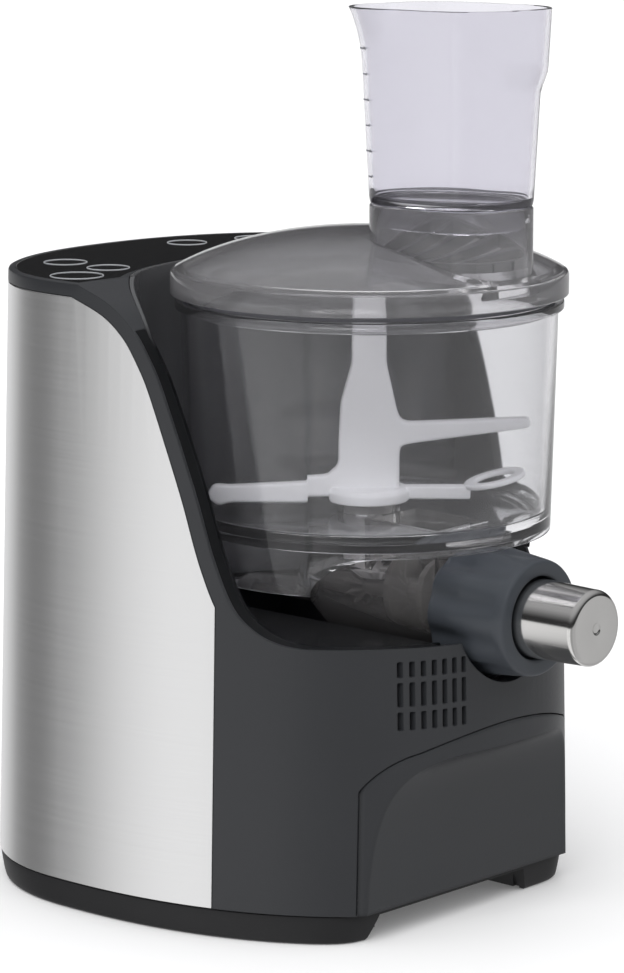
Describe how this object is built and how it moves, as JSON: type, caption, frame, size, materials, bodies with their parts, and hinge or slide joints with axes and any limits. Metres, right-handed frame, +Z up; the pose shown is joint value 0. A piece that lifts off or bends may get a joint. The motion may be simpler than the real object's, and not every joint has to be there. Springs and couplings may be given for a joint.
{
  "type": "electric pasta maker",
  "caption": "Upright electric pasta maker: steel-wrapped housing, clear mixing bowl, extruder barrel with lock nut and nose, lid with filling chute and measuring cup, drawer below.",
  "frame": {"origin": "on the floor, at the middle of the machine's outline", "axes": "+Z up, the pasta comes out towards -Y, +X to the right seen from the front"},
  "size_m": [0.2314, 0.306, 0.3965],
  "materials": {
    "housing_plastic": "fine satin grain",
    "base_plastic": "matte",
    "liner_plastic": "gloss",
    "wrap_steel": "brushed level",
    "nose_steel": "polished",
    "panel_glass": "gloss",
    "foot_rubber": "matte",
    "bowl_plastic": "clear",
    "lid_plastic": "clear, smoke tinted",
    "cup_plastic": "clear, faint lavender tint",
    "nut_plastic": "satin",
    "screw_plastic": "satin",
    "seal_silicone": "soft",
    "motor_iron": "plain",
    "gear_nylon": "plain",
    "bearing_steel": "ground",
    "circuit_board": "satin",
    "zinc_screw": "zinc plated"
  },
  "bodies": {
    "machine": {"base_tray": "base_plastic", "foot_front_left": "foot_rubber", "foot_front_right": "foot_rubber", "foot_rear_left": "foot_rubber", "foot_rear_right": "foot_rubber", "base_screw_front_left": "zinc_screw", "base_screw_front_right": "zinc_screw", "base_screw_rear_left": "zinc_screw", "base_screw_rear_right": "zinc_screw", "main_housing": "housing_plastic", "recess_liner": "liner_plastic", "steel_wrap": "wrap_steel", "control_panel": "panel_glass", "control_board": "circuit_board", "power_board": "circuit_board", "cord_outlet": "base_plastic", "motor_case": "motor_iron", "gearbox_case": "motor_iron", "gearbox_cover": "motor_iron", "idler_pin": "bearing_steel", "output_bearing_front": "bearing_steel", "output_bearing_rear": "bearing_steel", "lid_switch": "base_plastic"},
    "rotor": {"motor_rotor": "bearing_steel", "cooling_fan": "gear_nylon"},
    "idler": {"idler_gear": "gear_nylon"},
    "output": {"output_shaft": "bearing_steel"},
    "switch_plunger": {"lid_switch_plunger": "panel_glass"},
    "drawer": {"drawer": "housing_plastic"},
    "bowl": {"bowl": "bowl_plastic", "extruder_barrel": "bowl_plastic", "barrel_seal": "seal_silicone"},
    "screw": {"auger": "screw_plastic"},
    "paddle": {"mixing_paddle": "screw_plastic"},
    "nose": {"steel_nose": "nose_steel"},
    "nut": {"lock_nut": "nut_plastic"},
    "lid": {"lid": "lid_plastic", "lid_seal": "seal_silicone", "chute_guard": "lid_plastic"},
    "cup": {"measuring_cup": "cup_plastic"}
  },
  "joints": [
    {"name": "output_turn", "type": "hinge", "parent": "machine", "child": "output", "pos_m": [0, 0.1, 0.138], "axis": [0, -1, 0], "continuous": true},
    {"name": "idler_turn", "type": "hinge", "parent": "machine", "child": "idler", "pos_m": [0, 0.1, 0.08755], "axis": [0, -1, 0], "continuous": true},
    {"name": "rotor_turn", "type": "hinge", "parent": "machine", "child": "rotor", "pos_m": [0, 0.06, 0.055], "axis": [0, -1, 0], "continuous": true},
    {"name": "switch_press", "type": "slide", "parent": "machine", "child": "switch_plunger", "axis": [0, 1, 0], "range_m": [0, 0.0022], "stiffness_N_per_m": 60},
    {"name": "drawer_pull", "type": "slide", "parent": "machine", "child": "drawer", "axis": [0, -1, 0], "range_m": [0, 0.045]},
    {"name": "bowl_draw", "type": "slide", "parent": "machine", "child": "bowl", "axis": [0, -1, 0], "range_m": [0, 0.08]},
    {"name": "screw_turn", "type": "hinge", "parent": "bowl", "child": "screw", "pos_m": [0, -0.024, 0.138], "axis": [0, -1, 0], "continuous": true},
    {"name": "paddle_turn", "type": "hinge", "parent": "bowl", "child": "paddle", "pos_m": [0, -0.024, 0.18], "axis": [0, 0, 1], "continuous": true},
    {"name": "nose_draw", "type": "slide", "parent": "bowl", "child": "nose", "axis": [0, -1, 0], "range_m": [0, 0.05]},
    {"name": "nut_turn", "type": "hinge", "parent": "nose", "child": "nut", "pos_m": [0, -0.102, 0.138], "axis": [0, -1, 0], "range_deg": [0, 270]},
    {"name": "lid_lift", "type": "slide", "parent": "bowl", "child": "lid", "axis": [0, 0, 1], "range_m": [0, 0.08]},
    {"name": "cup_lift", "type": "slide", "parent": "lid", "child": "cup", "axis": [0, 0, 1], "range_m": [0, 0.06]}
  ],
  "couplings": [
    {"joint": "idler_turn", "follows": "output_turn", "ratio": -3.4444},
    {"joint": "rotor_turn", "follows": "output_turn", "ratio": 10.333},
    {"joint": "screw_turn", "follows": "output_turn", "ratio": 1},
    {"joint": "paddle_turn", "follows": "output_turn", "ratio": 1}
  ]
}
